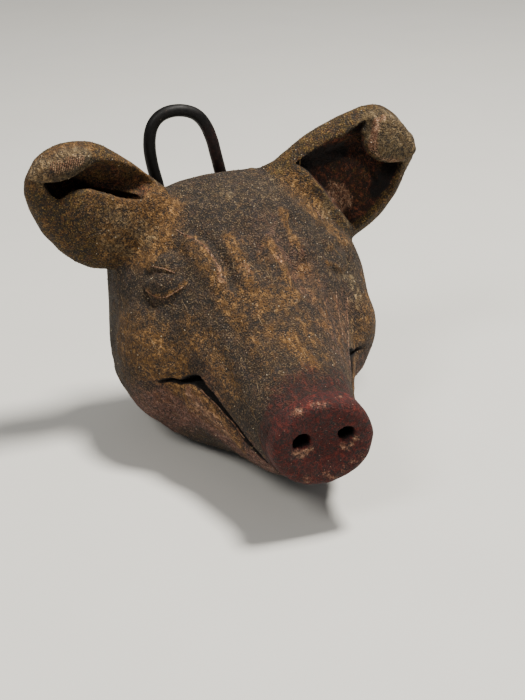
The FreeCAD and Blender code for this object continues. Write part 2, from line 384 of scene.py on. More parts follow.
# ---------------------------------------------------------------- mouth, eyes, folds and nostrils
MOUTH = [                                    # y, z, half gap, depth
    (-28.4, -5.9, 0.22, 0.6), (-29.6, -5.2, 0.34, 1.4), (-31.1, -5.2, 0.36, 2.2), (-32.9, -4.0, 0.65, 3.4),
    (-34.8, -3.6, 0.8, 3.8), (-37.0, -4.6, 0.6, 3.8), (-42.2, -7.1, 0.5, 3.8), (-48.8, -10.7, 0.46, 3.6),
    (-52.5, -12.8, 0.46, 3.0), (-57.0, -14.6, 0.42, 2.4)]
MOUTH_LOW, MOUTH_HIGH = (-30, -59, -19), (30, -24, 0)
FAR_MOUTH_X, FAR_MOUTH_DEPTH = 13.5, 0.35    # past this X the slit is only this share of its depth
mouth_path = smooth_path([(y, z, 0, gap, deep) for y, z, gap, deep in MOUTH], 0.4)


def cut_mouth(clay):
    """The slit between the muzzle and the jaw, cut to its own depth under the skin."""
    part, x, y, z = window(MOUTH_LOW, MOUTH_HIGH)
    best = np.full((1, y.shape[1], z.shape[2]), 1e9, np.float32)
    depth = np.zeros_like(best)
    for py, pz, _, gap, deep in mouth_path:
        near = np.sqrt((y - py) ** 2 + (z - pz) ** 2) - gap
        depth = np.where(near < best, deep, depth)
        best = np.minimum(best, near)
    local = clay[part]
    shallower = np.where(x > FAR_MOUTH_X, FAR_MOUTH_DEPTH, 1.0)
    clay[part] = carve(local, np.maximum(best, -(local + depth * shallower)), 0.22)


FACE_STROKES = [                             # path, width, depth, blend; the left side has their mirror
    # rolled lower lip under the mouth
    ([(-17.4, -31.4, -6.4), (-15.2, -34.8, -6.4), (-13.5, -39.0, -8.6), (-11.5, -44.0, -11.6),
      (-9.4, -49.0, -14.4)], 3.6, -0.7, 1.2),
    # folds round the closed eye
    ([(-18.6, -16.4, 14.2), (-16.8, -17.8, 15.2), (-14.8, -19.4, 15.6), (-13.4, -21.6, 14.9)], 1.8, 0.32, 0.7),
    ([(-20.2, -18.6, 9.0), (-19.9, -20.2, 7.6), (-19.5, -21.8, 6.8), (-18.9, -23.2, 6.2)], 0.7, 0.6, 0.15),
    ([(-19.2, -21.8, 7.5), (-17.7, -23.9, 7.9), (-16.0, -25.2, 9.3), (-14.2, -25.6, 10.6)], 1.3, 0.2, 0.5),
    ([(-19.7, -19.6, 9.0), (-18.6, -21.7, 8.6), (-17.3, -23.2, 8.9), (-15.7, -24.4, 10.4),
      (-14.2, -24.6, 11.6)], 0.8, -0.16, 0.35),
    ([(-19.4, -17.5, 11.7), (-18.7, -18.4, 12.0), (-17.9, -19.4, 12.3)], 0.42, 0.36, 0.1),
    ([(-18.2, -19.1, 12.2), (-17.4, -20.2, 12.6), (-16.9, -20.9, 12.3)], 0.46, 0.55, 0.1),
    ([(-17.0, -20.8, 12.6), (-16.0, -22.3, 12.8), (-15.1, -23.6, 12.1)], 0.4, 0.3, 0.1),
    ([(-18.9, -17.9, 12.9), (-17.9, -18.9, 13.4), (-16.6, -20.6, 13.5), (-15.4, -22.6, 13.2)], 0.6, -0.2, 0.3),
    # edge of the brow and the furrow beside it
    ([(-12.8, -18.0, 18.9), (-10.6, -20.7, 18.5), (-9.3, -23.2, 17.6), (-8.4, -25.6, 15.9),
      (-7.8, -28.0, 14.1)], 0.9, -0.42, 0.3),
    ([(-11.6, -18.2, 19.3), (-9.5, -21.2, 18.5), (-8.2, -23.4, 17.4), (-7.3, -26.0, 15.5), (-6.6, -28.8, 13.5),
      (-6.2, -31.9, 11.2)], 2.4, 0.75, 0.8),
]
# welts pinched up along the forehead and muzzle, and the furrows between them
WELTS = [[(-4.9, -22.6, 18.4), (-4.3, -26.0, 16.4), (-3.7, -29.6, 13.8), (-3.2, -33.0, 11.2)],
         [(1.9, -24.4, 17.8), (2.8, -27.4, 15.5), (3.8, -30.4, 13.1)],
         [(7.0, -18.2, 20.8), (7.4, -21.6, 18.6), (8.0, -25.0, 16.0)]]
FURROWS = [[(-1.6, -21.0, 19.4), (-1.0, -26.5, 16.2), (-0.2, -31.0, 13.0)],
           [(4.8, -19.0, 20.4), (5.4, -25.0, 16.7), (6.2, -30.5, 12.2), (6.6, -35.0, 8.4)],
           [(9.6, -19.0, 19.6), (10.4, -24.0, 16.0), (10.8, -29.0, 11.8)],
           [(-8.6, -36.0, 7.2), (-8.2, -41.0, 4.0), (-7.6, -46.5, 1.2)],
           [(12.8, -30.0, 8.6), (12.0, -38.0, 3.0), (10.6, -46.0, -1.4)],
           [(15.4, -30.5, 4.6), (13.6, -38.5, -0.6), (11.4, -46.5, -4.6)],
           [(-13.8, -32.0, 6.0), (-12.2, -38.0, 2.0), (-10.8, -45.0, -2.0)]]

for flip in (list, mirrored):
    for path, width, depth, blend in FACE_STROKES:
        draw(clay, flip(path), width, depth, blend)
cut_mouth(clay)
for welt in WELTS:
    draw(clay, welt, 2.4, -0.34, 0.8)
for furrow in FURROWS:
    draw(clay, furrow, 2.6, 0.36, 0.9)
# shallow dish in the snout's face
part, dish = pad((0.2, -63.2, -6.4), (7.4, 3.9, 6.2), tilted(0))
clay[part] = carve(clay[part], dish, 0.8)
# crumbs left along the crown
for x, y, z, radius in ((2.0, -6.4, 24.3, 0.9), (5.3, -6.0, 24.6, 1.1), (4.1, -6.8, 24.0, 0.7)):
    part, crumb = pad((x, y, z), (radius, radius, 0.8 * radius), tilted(12))
    clay[part] = join(clay[part], crumb, 0.5)

NOSTRIL_Y, NOSTRIL_REACH = -59.0, 5.2


def push_nostril(clay, x, z, half_width, half_height, lean):
    """A nail's end pushed in and lifted: a hole with a flat bottom."""
    part, hole = pad((x, NOSTRIL_Y, z - 0.15 * half_height), (half_width, NOSTRIL_REACH, half_height * 1.2),
                     tilted(lean))
    above = AXES[2][part[2]][None, None, :] - (z - 0.75 * half_height)
    clay[part] = carve(clay[part], np.maximum(hole, -above), 0.25)


push_nostril(clay, -4.0, -4.9, 1.75, 1.35, 8)
push_nostril(clay, 4.3, -4.6, 1.4, 1.15, -6)

# flat underside to stand on, and flat back to hang by
clay = np.maximum(clay, FLOOR_Z - AXES[2][None, None, :])
clay = np.maximum(clay, AXES[1][None, :, None])
clay = np.ascontiguousarray(np.clip(clay, -REACH, REACH), np.float32)

points, quads = skin(clay)
points = points.astype(np.float64)
normals = outward(clay, points, 0.4)

# ---------------------------------------------------------------- where the paint and the dirt lie
def near_path(points, path, radius, soft):
    """1 on a painted stroke, falling to 0 over the soft width round it."""
    path = smooth_path(path, 0.8)
    away = np.full(len(points), 1e9)
    for p in path:
        away = np.minimum(away, ((points - p) ** 2).sum(1))
    return np.clip((radius + soft - np.sqrt(away)) / soft, 0, 1)


OCHRE_STROKES = [
    # path, radius, softness, strength
    ([(-12.4, -20.6, 17.4), (-11.0, -23.6, 16.0), (-9.8, -26.4, 13.8)], 1.1, 2.6, 0.66),
    ([(-8.6, -28.0, 13.4), (-8.0, -33.0, 9.6), (-7.2, -37.0, 7.0)], 1.0, 2.6, 0.8),
    ([(-4.9, -23.0, 18.2), (-4.2, -26.6, 15.9), (-3.7, -29.6, 13.6), (-3.2, -32.4, 11.7), (-2.6, -35.5, 9.6)],
     0.8, 1.3, 1.0),
    ([(2.1, -24.8, 17.5), (3.0, -27.5, 15.4), (4.0, -30.4, 13.0), (4.4, -34.0, 10.2)], 0.7, 1.2, 1.0),
    ([(7.1, -18.8, 20.4), (7.4, -21.9, 18.4), (7.9, -24.7, 16.2)], 0.7, 1.0, 0.95),
    ([(-4.6, -33.0, 10.6), (-4.6, -38.0, 7.2), (-4.0, -43.5, 4.6)], 2.2, 3.5, 0.58),
    ([(2.0, -33.0, 11.0), (2.6, -39.5, 6.8), (2.6, -45.6, 4.0)], 2.6, 3.4, 0.6),
    ([(8.4, -28.0, 12.4), (9.0, -33.0, 8.4), (8.4, -38.0, 5.0)], 1.0, 3.4, 0.6),
    ([(0.0, -42.4, 6.0), (1.2, -45.6, 4.6), (2.2, -48.6, 3.2)], 1.2, 1.8, 1.0),
    ([(-24.4, -18.0, 0.6), (-21.8, -24.0, -0.6), (-18.4, -29.0, -2.0)], 3.2, 4.6, 0.92),
    ([(-14.8, -31.0, 4.6), (-12.9, -37.0, 1.2), (-11.8, -43.2, -2.2)], 1.8, 3.6, 0.66),
    ([(-17.6, -31.6, -5.8), (-15.4, -36.4, -7.2), (-13.6, -40.4, -9.6), (-11.8, -44.4, -12.2)],
     2.1, 2.4, 1.15),
    ([(-17.6, -34.0, -8.8), (-16.0, -38.0, -10.6)], 1.0, 3.0, 0.7),
    ([(-19.6, -19.8, 8.9), (-18.6, -21.8, 8.5), (-17.4, -23.2, 8.9), (-15.8, -24.5, 10.3),
      (-14.2, -24.9, 11.6)], 0.35, 0.8, 0.9),
    ([(-18.8, -18.0, 12.9), (-16.8, -20.6, 13.5), (-15.3, -22.8, 13.2)], 0.3, 0.6, 0.7),
    ([(-15.4, -12.6, 21.6), (-17.0, -13.8, 18.0), (-18.4, -13.8, 15.6)], 3.2, 3.6, 1.3),
    ([(-20.6, -13.8, 23.2), (-22.6, -14.0, 19.6), (-23.8, -13.0, 16.0)], 3.0, 3.4, 1.1),
    ([(-28.0, -13.6, 24.6), (-27.0, -13.6, 19.0)], 2.0, 5.0, 0.5),
    ([(-37.4, -12.4, 30.6), (-35.6, -13.6, 32.2), (-32.6, -13.2, 34.4)], 1.8, 3.0, 1.2),
    ([(-28.4, -10.0, 35.2), (-33.0, -11.0, 34.6), (-37.4, -10.0, 31.6)], 1.0, 2.6, 0.8),
    ([(-38.6, -9.0, 29.0), (-38.0, -10.6, 24.0), (-35.0, -12.0, 18.0)], 1.0, 3.5, 0.45),
    ([(12.0, -12.6, 23.4), (14.6, -14.0, 20.2), (16.8, -15.0, 17.0)], 1.6, 3.0, 0.85),
    ([(17.4, -16.0, 15.0), (19.6, -15.4, 12.2), (20.6, -13.8, 10.2)], 1.4, 3.0, 0.75),
    ([(29.6, -12.6, 34.0), (33.0, -13.2, 32.2), (36.0, -12.6, 29.0)], 1.6, 3.2, 0.75),
    ([(27.6, -13.4, 32.6), (26.8, -13.8, 29.4)], 0.6, 1.0, 0.9),
    ([(12.0, -9.0, 28.2), (20.0, -9.0, 32.6), (27.0, -9.0, 35.2)], 0.4, 1.8, 0.25),
    ([(-27.0, -8.6, 30.4), (-22.0, -8.2, 29.0), (-17.6, -8.6, 27.4)], 2.2, 2.0, 0.8),
    ([(27.0, -6.4, 21.0), (30.0, -6.4, 17.6)], 1.4, 2.6, 0.45),
    ([(-2.0, -30.0, 12.0), (-1.0, -38.0, 7.0), (0.0, -46.0, 3.0)], 7.0, 6.0, 0.34),
    ([(-20.0, -24.0, -4.0), (-16.0, -32.0, -5.0)], 6.0, 6.0, 0.34),
    ([(-16.6, -34.0, -9.0), (-14.4, -39.0, -11.2), (-12.2, -43.6, -13.4)], 1.9, 2.4, 0.9),
    ([(35.6, -12.0, 24.0), (34.0, -12.0, 19.6), (30.6, -12.0, 15.4)], 0.5, 2.0, 0.5),
]
MAROON_STROKES = [
    ([(0, -58, -6.3), (0, -59, -6.3)], 10.4, 1.2, 1.0),
    ([(-4.6, -52.4, 1.6), (1.0, -51.6, 2.6), (7.0, -51.6, -0.4)], 1.8, 4.6, 0.85),
    ([(-22.0, -20.0, -12.0), (-17.0, -34.0, -11.0), (-11.0, -46.0, -14.0)], 2.6, 6.0, 0.4),
]
# painted shadow: black where the ears' cavities lie in the shade of their rims and folded tips
SHADOW_STROKES = [
    ([(13.6, -12.0, 26.8), (15.2, -9.5, 26.4), (19.0, -7.5, 26.8), (23.4, -6.6, 27.2)], 1.4, 2.2, 1.0),
    ([(35.0, -9.5, 25.2), (33.4, -9.0, 21.6), (31.6, -8.6, 18.4)], 1.6, 1.6, 1.0),
    ([(27.0, -10.0, 33.0), (24.6, -9.0, 31.6)], 0.8, 1.4, 0.9),
    ([(-36.0, -11.0, 28.8), (-34.0, -10.0, 26.8), (-31.0, -9.0, 27.2)], 1.2, 1.6, 1.0),
    ([(-33.0, -8.6, 29.4), (-30.4, -8.2, 29.6)], 0.8, 1.4, 0.8),
]
# pale dust, and painted highlights: the two streaks down the left cheek beside the muzzle are painted
# highlights
DUST_AND_HIGHLIGHT_STROKES = [
    ([(29.4, -13.0, 33.6), (32.0, -14.0, 30.4), (34.4, -13.4, 27.6)], 3.4, 3.0, 1.1),
    ([(-36.4, -13.0, 31.2), (-32.6, -14.2, 32.6), (-29.4, -14.0, 33.2)], 2.4, 2.6, 1.1),
    ([(-24.0, -13.8, 22.4), (-20.8, -14.0, 20.4), (-18.6, -14.0, 17.6)], 1.6, 2.6, 0.75),
    ([(-26.0, -13.4, 19.0), (-23.6, -13.0, 14.8)], 1.8, 3.0, 0.6),
    ([(10.6, -12.6, 23.0), (14.0, -13.6, 21.6)], 1.6, 2.6, 0.3),
    ([(20.0, -20.0, 8.0), (19.0, -27.0, 3.0), (16.0, -34.0, -2.0)], 1.4, 2.6, 0.6),
    ([(16.0, -28.0, 7.0), (14.0, -34.0, 2.8)], 0.5, 1.4, 0.7),
    ([(-9.0, -12.0, 23.0), (0.0, -14.0, 22.8), (8.0, -13.0, 22.6)], 2.0, 4.0, 0.4),
]
MAUVE_STROKES = [
    ([(-9.4, -57.0, -6.0), (-8.0, -57.0, -10.6), (-4.6, -57.0, -13.6)], 0.8, 1.8, 0.9),
    ([(-14.6, -36.0, -10.0), (-11.4, -43.0, -13.6), (-8.6, -49.0, -16.0)], 3.0, 5.0, 1.15),
    ([(-19.0, -29.0, -12.0), (-21.0, -22.0, -16.0)], 4.0, 6.0, 0.9),
    ([(-13.6, -34.0, -0.6), (-12.4, -40.0, -4.4)], 1.0, 3.5, 0.5),
    ([(4.0, -24.0, 18.0), (10.0, -33.0, 8.0), (11.0, -42.0, 1.0)], 2.0, 6.0, 0.5),
    ([(16.0, -30.0, 4.0), (14.0, -40.0, -2.0)], 2.0, 5.0, 0.6),
]
# pale chips of paint on the snout's face, and painted highlights on the snout's upper rim, the left ear's flap
# and cavity, the brow and lip edges, the jaw below the mouth, the muzzle's folds and the welts
CHIP_AND_HIGHLIGHT_STROKES = [
    ([(-5.2, -60.0, -6.9), (-3.8, -60.0, -7.3), (-2.4, -60.0, -6.8)], 0.35, 0.9, 1.0),
    ([(3.2, -60.0, -6.8), (4.2, -60.0, -7.6), (5.6, -60.0, -6.0)], 0.3, 0.9, 0.95),
    ([(21.8, -9.2, 20.2), (23.2, -8.6, 18.6), (24.6, -8.4, 16.8)], 1.5, 1.1, 1.6),
    ([(27.9, -13.9, 33.2), (27.4, -14.1, 31.2), (27.6, -14.1, 29.4)], 0.9, 0.9, 1.3),
    ([(28.0, -13.0, 34.2), (30.0, -12.8, 34.8)], 0.4, 0.9, 1.0),
    ([(28.4, -14.0, 27.6), (30.6, -14.0, 26.2), (33.6, -13.8, 25.9)], 0.4, 1.2, 0.6),
    ([(-8.6, -57.5, -0.2), (-6.2, -58.5, 0.6), (-4.4, -58.5, 0.2)], 0.5, 1.2, 0.85),
    ([(-1.8, -58.6, 0.9), (1.8, -58.6, 0.4), (3.4, -57.6, 1.2)], 0.4, 1.0, 0.75),
    ([(5.0, -58.6, 0.0), (6.6, -58.6, -1.8)], 0.4, 1.6, 0.7),
    ([(-2.6, -60.0, -12.0), (2.6, -60.0, -12.2), (6.4, -60.0, -9.6)], 0.6, 1.6, 0.5),
    ([(-12.6, -18.3, 18.9), (-10.5, -20.9, 18.5), (-9.2, -23.3, 17.5), (-8.3, -25.7, 15.9)], 0.14, 0.42, 1.0),
    ([(-15.6, -35.4, -4.2), (-13.7, -38.6, -5.4), (-12.0, -43.0, -7.6)], 0.12, 0.4, 0.8),
    ([(14.7, -30.0, 5.9), (13.8, -35.0, 2.6), (12.8, -40.0, -0.6)], 0.3, 1.0, 0.6),
    ([(17.9, -30.0, 5.0), (16.6, -33.0, 1.0), (15.0, -38.0, -3.0)], 0.3, 1.2, 0.6),
    ([(15.8, -14.6, 18.2), (16.8, -15.2, 16.6)], 0.12, 0.4, 1.0),
    ([(-17.0, -34.0, -6.8), (-14.6, -38.4, -8.8), (-12.8, -42.0, -10.8)], 0.9, 1.6, 0.9),
    ([(-16.0, -35.0, -9.6), (-14.0, -40.0, -11.8), (-12.0, -44.0, -13.6)], 0.8, 2.0, 0.75),
    ([(-8.0, -27.0, 14.6), (-7.6, -31.0, 11.4)], 0.4, 1.2, 0.6),
    ([(-4.2, -26.6, 15.9), (-3.7, -29.6, 13.6)], 0.5, 1.2, 0.6),
    ([(3.0, -27.5, 15.4), (4.0, -30.4, 13.0)], 0.4, 1.2, 0.6),
]

# the ragged edge that a dry brush leaves, from two sizes of unevenness
RAGGED = sample(lumps(1.9, 31), points) * 0.8 + sample(lumps(0.9, 32), points) * 0.5
RAGGED = 0.5 + 0.5 * np.clip(RAGGED, -1, 1)


def painted(points, strokes, mirror=0.0):
    """How much of a pigment lies at each point; mirror is the share that the left side repeats."""
    total = np.zeros(len(points))
    for path, radius, soft, strength in strokes:
        total = np.maximum(total, near_path(points, path, radius, soft) * strength)
        if mirror and path[0][0] < 0:
            total = np.maximum(total, near_path(points, mirrored(path), radius, soft) * strength * mirror)
    return total * (1 - 0.75 * RAGGED * (1.1 - total)).clip(0, 1)


def crowding(reach):
    """0 on open skin, rising to 1 where the clay stands close in front of it."""
    return 1 - sample(clay, points + reach * normals) / reach


masks = {
    "ochre": painted(points, OCHRE_STROKES),
    "maroon": painted(points, MAROON_STROKES),
    "mauve": painted(points, MAUVE_STROKES, 0.8),
    "chip_and_highlight": painted(points, CHIP_AND_HIGHLIGHT_STROKES),
    "dust_and_highlight": painted(points, DUST_AND_HIGHLIGHT_STROKES, 0.8),
    "painted_shadow": painted(points, SHADOW_STROKES),
}
# the far cheek and muzzle repeat the near side's low strokes more weakly
far_cheek = [(mirrored(path), *rest) for path, *rest in OCHRE_STROKES if path[0][0] < -11 and path[0][2] < 14]
masks["ochre"] = np.maximum(masks["ochre"], 0.8 * painted(points, far_cheek))
# painted shade: darker where clay stands close in front of the skin, and black in narrow deep gaps such as
# under the ears' folded tips
masks["hollow"] = np.clip(crowding(1.6), 0, 1)
masks["deep"] = np.clip(crowding(4.0), 0, 1) * np.clip(1 - sample(clay, points + 2.4 * normals) / 1.6, 0, 1)
in_right_ear, in_left_ear = (np.clip((-sample(ear, points) - 0.8) / 1.0, 0, 1) for ear in unhollowed_ears)
in_ears = np.maximum(in_right_ear, in_left_ear)
masks["maroon"] = np.maximum(masks["maroon"], np.maximum(0.62 * in_right_ear, 0.95 * in_left_ear))
masks["painted_shadow"] *= in_ears
# painted shade round the fingertip's ridges on the folded tip, and painted shadow along the mouth's slit
ridge_field_shade = near_path(points, [(-34.4, -14.2, 31.6), (-31.6, -14.6, 32.2), (-29.2, -14.2, 33.2)], 1.3, 0.9)
from_mouth = np.full(len(points), 1e9)
for py, pz, _, gap, _ in mouth_path:
    from_mouth = np.minimum(from_mouth, np.hypot(points[:, 1] - py, points[:, 2] - pz) - gap)
in_mouth = np.clip(1.2 - from_mouth / 0.3, 0, 1) * np.clip(3 * masks["hollow"] - 0.3, 0, 1)
masks["painted_shadow"] = np.maximum(np.maximum(masks["painted_shadow"], 0.5 * ridge_field_shade), in_mouth)
# less painted shade inside the ears and where the pale chips and painted highlights lie
for key in ("hollow", "deep"):
    masks[key] *= (1 - 0.8 * in_ears) * (1 - 0.6 * masks["chip_and_highlight"])


# ---------------------------------------------------------------- one closed piece for each lump of clay
def in_scene(name, data):
    """A new object of some data, at the origin."""
    made = bpy.data.objects.new(name, data)
    bpy.context.scene.collection.objects.link(made)
    return made


def give(mesh, key, values):
    """Stores a value for each point of a mesh, under a name that the finishes read."""
    mesh.attributes.new(key, "FLOAT", "POINT").data.foreach_set("value", np.asarray(values, np.float32))


def owners(points, quads):
    """The clay node that each face of the skin belongs to, as its place in CLAY_NODES."""
    middles = points[quads].mean(1)
    fields = np.stack([sample(node_fields[name], middles) for name in CLAY_NODES])
    return fields.argmin(0)


def rim_loops(faces):
    """Closed chains of the edges that only one face uses."""
    edges = np.stack([faces.ravel(), np.roll(faces, -1, 1).ravel()], 1)
    both = {(a, b) for a, b in edges.tolist()}
    following = {}
    for a, b in both:
        if (b, a) not in both:
            following.setdefault(b, []).append(a)
    loops = []
    while following:
        start = min(following)
        loop, at = [], start
        while at in following:
            loop.append(at)
            onward = following[at].pop()
            if not following[at]:
                del following[at]
            at = onward
        loops.append(loop)
    return loops


CAP_RINGS = 5
CAP_SINK = 0.35                              # how much deeper each ring of a cap lies in the clay


def inner_cap(rim):
    """Rings of points from a cut edge to one middle point, all kept inside the clay."""
    middle = rim.mean(0)
    rings = []
    for k in range(1, CAP_RINGS + 1):
        share = (k / CAP_RINGS) ** 1.5
        ring = rim + (middle - rim) * min(share, 0.97) if k < CAP_RINGS else middle[None]
        sunk = CAP_SINK * k
        for _ in range(4):
            ring = ring - outward(clay, ring) * np.maximum(sample(clay, ring) + sunk, 0)[:, None]
        rings.append(ring)
    return rings


def clay_piece(name, faces, material):
    """A mesh of some of the skin's faces, closed behind its cut edges by walls inside the clay."""
    used = np.unique(faces)
    place = np.full(len(points), -1)
    place[used] = np.arange(len(used))
    polygons = [tuple(f) for f in place[faces].tolist()]
    added = []
    count = len(used)
    for loop in rim_loops(faces):
        before = place[loop].tolist()
        for ring in inner_cap(points[loop]):
            now = [count + i for i in range(len(ring))]
            for i, j in zip(range(len(before)), [*range(1, len(before)), 0]):
                inner = (now[j], now[i]) if len(ring) > 1 else (now[0],)
                polygons.append((before[i], before[j]) + inner)
            added.append(ring)
            count += len(ring)
            before = now
    hidden = np.vstack(added) if added else np.empty((0, 3))
    mesh = bpy.data.meshes.new(name)
    mesh.from_pydata((np.vstack([points[used], hidden]) * MM).tolist(), [], polygons)
    mesh.polygons.foreach_set("use_smooth", [True] * len(mesh.polygons))
    for key, values in masks.items():
        give(mesh, key, np.concatenate([values[used], np.zeros(len(hidden))]))
    inside = -outward(clay, hidden) if len(hidden) else hidden
    mesh.normals_split_custom_set_from_vertices(np.vstack([normals[used], inside]).tolist())
    mesh.materials.append(material)
    return in_scene(name, mesh)


# ---------------------------------------------------------------- short ways to write node trees
def feed(tree, value, socket):
    """Links an output to a node's input, or sets the input to a constant."""
    if isinstance(value, bpy.types.NodeSocket):
        tree.links.new(value, socket)
    else:
        socket.default_value = value


def new_tree(name, kind, inputs, outputs):
    """A node group with its inputs (name, kind, value) and outputs (name, kind), and its two end nodes."""
    tree = bpy.data.node_groups.new(name, kind)
    for label, socket_kind, default in inputs:
        socket = tree.interface.new_socket(name=label, in_out="INPUT", socket_type=socket_kind)
        if default is not None:
            socket.default_value = default
    for label, socket_kind in outputs:
        tree.interface.new_socket(name=label, in_out="OUTPUT", socket_type=socket_kind)
    return tree, tree.nodes.new("NodeGroupInput"), tree.nodes.new("NodeGroupOutput")


def add(tree, kind, settings=(), **values):
    """A node in tree: settings are its own properties, values its inputs by name, or by number as i0, i1."""
    node = tree.nodes.new(kind)
    for key, value in dict(settings).items():
        setattr(node, key, value)
    for key, value in values.items():
        numbered = key[0] == "i" and key[1:].isdigit()
        feed(tree, value, node.inputs[int(key[1:])] if numbered else node.inputs[key.replace("_", " ")])
    return node


def maths(tree, operation, a, b=0.0, clamp=False):
    """The result of one operation on two values or outputs."""
    return add(tree, "ShaderNodeMath", {"operation": operation, "use_clamp": clamp}, i0=a, i1=b).outputs[0]


def times(tree, a, b):
    return maths(tree, "MULTIPLY", a, b)


def plus(tree, a, b):
    return maths(tree, "ADD", a, b)


def about(tree, value, middle, gain):
    """How far a value stands from a middle one, times a gain."""
    return times(tree, maths(tree, "SUBTRACT", value, middle), gain)


def steps(tree, value, low, high, to_low=0.0, to_high=1.0):
    """A value eased from one range into another."""
    return add(tree, "ShaderNodeMapRange", {"interpolation_type": "SMOOTHSTEP"}, Value=value,
               From_Min=low, From_Max=high, To_Min=to_low, To_Max=to_high).outputs["Result"]


def mixed(tree, share, a, b):
    """Colour a, with a share of colour b."""
    return add(tree, "ShaderNodeMix", {"data_type": "RGBA"}, i0=share, i6=a, i7=b).outputs[2]


def noise(tree, place, scale, detail, roughness=0.5):
    """Cloudy values of about 0.5, with scale clouds to the metre."""
    return add(tree, "ShaderNodeTexNoise", Vector=place, Scale=scale, Detail=detail,
               Roughness=roughness).outputs[0]


def mask(tree, name):
    """A value that the mesh holds for each of its points."""
    return add(tree, "ShaderNodeAttribute", {"attribute_name": name}).outputs["Fac"]


def grouped(tree, group, **values):
    """One of the shared shader groups, with its own values."""
    return add(tree, "ShaderNodeGroup", {"node_tree": group}, **values)


def new_material(name):
    """A material, its node tree and its shader."""
    material = bpy.data.materials.new(name)
    material.use_nodes = True
    return material, material.node_tree, material.node_tree.nodes["Principled BSDF"]


def own_place(tree):
    """The piece's own coordinates."""
    return add(tree, "ShaderNodeTexCoord").outputs["Object"]


def roughen(tree, shader, strength, distance, height):
    """Relief of a height, on a shader's normal."""
    bump = add(tree, "ShaderNodeBump", Strength=strength, Distance=distance, Height=height)
    feed(tree, bump.outputs["Normal"], shader.inputs["Normal"])


def paint(red, green, blue):
    """A colour in screen values, turned into light values."""
    shares = [c / 255 for c in (red, green, blue)]
    return tuple(((c + 0.055) / 1.055) ** 2.4 if c > 0.04 else c / 12.92 for c in shares) + (1.0,)


# ---------------------------------------------------------------- shader groups that the finishes share
def sandy_grain_group():
    """Sand in the clay: its height, the few pale grains that catch the light, and slow drifts of tint."""
    group, inside, outside = new_tree(
        "sandy_grain", "ShaderNodeTree",
        [("Vector", "NodeSocketVector", None), ("Grain Size mm", "NodeSocketFloat", 0.3)],
        [("Height", "NodeSocketFloat"), ("Pale Grains", "NodeSocketFloat"), ("Mottle", "NodeSocketFloat"),
         ("Warm Drift", "NodeSocketFloat"), ("Cool Drift", "NodeSocketFloat")])
    per_metre = maths(group, "DIVIDE", 1000.0, inside.outputs["Grain Size mm"])
    place = inside.outputs["Vector"]
    fine = noise(group, place, per_metre, 2.0, 0.7)
    broad = noise(group, place, times(group, per_metre, 0.3), 4.0, 0.65)
    grains = add(group, "ShaderNodeTexVoronoi", {"feature": "F1"}, Vector=place,
                 Scale=times(group, per_metre, 0.8), Randomness=1.0)
    round_grain = steps(group, grains.outputs["Distance"], 0.05, 0.6, 1.0, 0.0)
    height = plus(group, times(group, fine, 0.60), times(group, round_grain, 0.2))
    height = plus(group, height, times(group, broad, 0.50))
    pick = add(group, "ShaderNodeSeparateColor", Color=grains.outputs["Color"]).outputs[0]
    specks = times(group, steps(group, pick, 0.93, 0.96),
                   steps(group, grains.outputs["Distance"], 0.10, 0.30, 1.0, 0.0))
    drift = add(group, "ShaderNodeTexNoise", Vector=place, Scale=times(group, per_metre, 0.2), Detail=5.0,
                Roughness=0.75)
    tint = add(group, "ShaderNodeSeparateColor", Color=drift.outputs["Color"])
    for label, value in (("Height", height), ("Pale Grains", specks), ("Mottle", broad),
                         ("Warm Drift", steps(group, tint.outputs[0], 0.47, 0.66)),
                         ("Cool Drift", steps(group, tint.outputs[1], 0.47, 0.66))):
        feed(group, value, outside.inputs[label])
    return group


def dry_brush_group():
    """Pigment dragged over rough clay: it keeps to the high grains and breaks up where the brush ran dry."""
    group, inside, outside = new_tree(
        "dry_brush", "ShaderNodeTree",
        [("Vector", "NodeSocketVector", None), ("Under", "NodeSocketColor", None),
         ("Pigment", "NodeSocketColor", None), ("Pigment Light", "NodeSocketColor", None),
         ("Amount", "NodeSocketFloat", 0.0), ("Grain Height", "NodeSocketFloat", 0.5),
         ("Break Up", "NodeSocketFloat", 1.0), ("Thickness", "NodeSocketFloat", 0.8)],
        [("Color", "NodeSocketColor")])
    given = inside.outputs
    drag = add(group, "ShaderNodeMapping", {"vector_type": "POINT"}, Vector=given["Vector"],
               Rotation=(math.radians(-35), 0.0, 0.0), Scale=(1.0, 0.3, 1.0)).outputs[0]
    streaks = noise(group, drag, 900.0, 5.0, 0.7)
    patches = noise(group, given["Vector"], 330.0, 4.0, 0.6)
    rough = plus(group, about(group, streaks, 0.5, 2.0), about(group, patches, 0.5, 1.9))
    rough = plus(group, rough, about(group, given["Grain Height"], 0.66, 0.75))
    level = plus(group, given["Amount"], times(group, rough, given["Break Up"]))
    cover = times(group, steps(group, level, 0.15, 1.05), steps(group, given["Amount"], 0.0, 0.3))
    cover = times(group, cover, given["Thickness"])
    hue = steps(group, noise(group, drag, 1300.0, 4.0, 0.7), 0.44, 0.68)
    pigment = mixed(group, hue, given["Pigment"], given["Pigment Light"])
    feed(group, mixed(group, cover, given["Under"], pigment), outside.inputs["Color"])
    return group


SANDY_GRAIN = sandy_grain_group()
DRY_BRUSH = dry_brush_group()


# ---------------------------------------------------------------- clay finishes
CLAY_GRAIN_MM = 0.30
CLAY_SHEEN = 0.35
# near-black of the painted shade in the hollows, and of the painted shadow in narrow gaps, the ear cavities
# and the mouth's slit
HOLLOW_SHADE = paint(9, 5, 4)
SHADOW_BLACK = paint(8, 4, 3)


